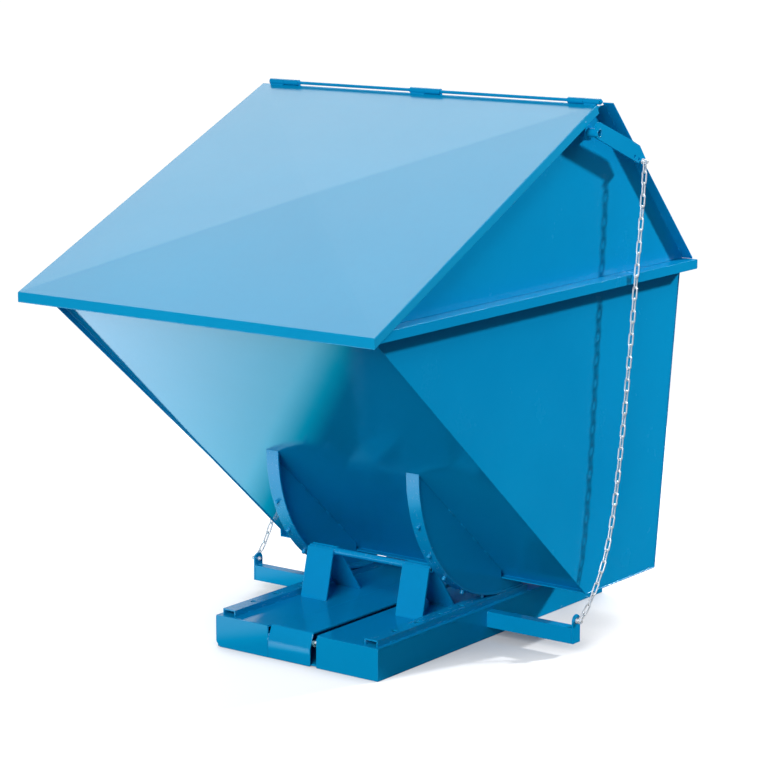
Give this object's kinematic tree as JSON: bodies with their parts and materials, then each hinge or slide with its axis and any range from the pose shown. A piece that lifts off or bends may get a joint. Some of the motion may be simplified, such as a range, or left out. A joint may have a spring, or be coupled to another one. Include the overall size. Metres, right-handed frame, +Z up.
{
  "type": "self dumping hopper",
  "caption": "Forklift self dumping hopper: sheet-steel body rolling on curved rockers over a pocketed base, with a chain-opened gable roof.",
  "frame": {"origin": "on the ground, under the middle of the whole hopper's outline", "axes": "+Z up, -Y the front to which the hopper dumps, +Y the rear from which the forks come, +X the right as seen from behind the front edge looking to the rear"},
  "size_m": [1.354, 1.714, 1.687],
  "materials": {
    "blue_paint": "glossy light blue powder coat",
    "galvanised": "bright zinc plating",
    "bare_steel": "plain drawn steel"
  },
  "bodies": {
    "base": {"pocket_shell_right": "blue_paint", "pocket_shell_left": "blue_paint", "deck_right": "blue_paint", "deck_left": "blue_paint", "front_plate_left": "blue_paint", "front_plate_right": "blue_paint", "front_plate_middle": "blue_paint", "channel_floor": "blue_paint", "channel_cover": "blue_paint", "rail_right": "blue_paint", "rail_left": "blue_paint", "stop_stand_right": "blue_paint", "stop_stand_left": "blue_paint", "stop_crossbar": "blue_paint", "outrigger_arm_right": "blue_paint", "outrigger_arm_left": "blue_paint", "outrigger_ears": "blue_paint", "chain_bolts_lower": "galvanised", "latch_pivot_pin": "bare_steel", "latch_lug": "blue_paint", "rod_guides": "blue_paint"},
    "roll_carriage": {"roll_axis_discs": "bare_steel"},
    "hopper": {"hopper_floor": "blue_paint", "rear_wall": "blue_paint", "side_wall_right": "blue_paint", "side_wall_left": "blue_paint", "rim_right": "blue_paint", "rim_left": "blue_paint", "rim_front": "blue_paint", "rim_rear": "blue_paint", "gable_right": "blue_paint", "gable_left": "blue_paint", "shaft_bosses": "blue_paint", "rocker_strip_right": "blue_paint", "rocker_web_right": "blue_paint", "rocker_strip_left": "blue_paint", "rocker_web_left": "blue_paint", "rocker_studs": "blue_paint", "latch_keeper": "blue_paint", "ridge_beam": "blue_paint", "ridge_knuckles": "blue_paint", "ridge_rod": "bare_steel", "rear_hinge_rod": "bare_steel", "rear_hinge_bearings": "blue_paint"},
    "front_wing": {"front_lid": "blue_paint", "front_lid_knuckles": "blue_paint"},
    "rear_wing": {"rear_lid": "blue_paint", "rear_lid_knuckles": "blue_paint", "rear_lid_handle": "blue_paint"},
    "levers": {"lever_shaft": "blue_paint", "lever_right": "blue_paint", "lever_left": "blue_paint", "chain_bolts_upper": "galvanised", "lid_push_arms": "blue_paint", "lid_rollers": "bare_steel"},
    "hook": {"latch_hook": "blue_paint"},
    "rod": {"release_rod": "bare_steel"},
    "chain_r": {"chain_right": "galvanised"},
    "chain_l": {"chain_left": "galvanised"}
  },
  "joints": [
    {"name": "carriage_travel", "type": "slide", "parent": "base", "child": "roll_carriage", "axis": [0, -1, 0], "range_m": [0, 0.4195]},
    {"name": "hopper_roll", "type": "hinge", "parent": "roll_carriage", "child": "hopper", "pos_m": [0, 0.308, 0.581], "axis": [1, 0, 0], "range_deg": [0, 52]},
    {"name": "front_lid_lift", "type": "hinge", "parent": "hopper", "child": "front_wing", "pos_m": [0, 0.263, 1.678], "axis": [-1, 0, 0], "range_deg": [0, 17]},
    {"name": "lever_turn", "type": "hinge", "parent": "hopper", "child": "levers", "pos_m": [0, 0.243, 1.588], "axis": [-1, 0, 0], "range_deg": [0, 19]},
    {"name": "rear_lid_open", "type": "hinge", "parent": "hopper", "child": "rear_wing", "pos_m": [0, 0.3844, 1.6347], "axis": [1, 0, 0], "range_deg": [0, 110]},
    {"name": "chain_swing_right", "type": "hinge", "parent": "base", "child": "chain_r", "pos_m": [0.6345, 0.206, 0.106], "axis": [1, 0, 0], "range_deg": [0, 51], "deforming": ["chain_right"]},
    {"name": "chain_swing_left", "type": "hinge", "parent": "base", "child": "chain_l", "pos_m": [-0.6345, 0.206, 0.106], "axis": [1, 0, 0], "range_deg": [0, 51], "deforming": ["chain_left"]},
    {"name": "rod_slide", "type": "slide", "parent": "base", "child": "rod", "axis": [0, -1, 0], "range_m": [0, 0.0087]},
    {"name": "hook_turn", "type": "hinge", "parent": "base", "child": "hook", "pos_m": [0.067, 0.65, 0.03], "axis": [1, 0, 0], "range_deg": [0, 12]}
  ],
  "couplings": [
    {"joint": "carriage_travel", "follows": "hopper_roll", "m_per_rad": 0.4617},
    {"joint": "front_lid_lift", "follows": "hopper_roll", "ratio": 0.32564},
    {"joint": "lever_turn", "follows": "hopper_roll", "ratio": 0.36503},
    {"joint": "chain_swing_right", "follows": "hopper_roll", "ratio": 0.97618},
    {"joint": "chain_swing_left", "follows": "hopper_roll", "ratio": 0.97618},
    {"joint": "hook_turn", "follows": "rod_slide", "rad_per_m": 23.809}
  ]
}
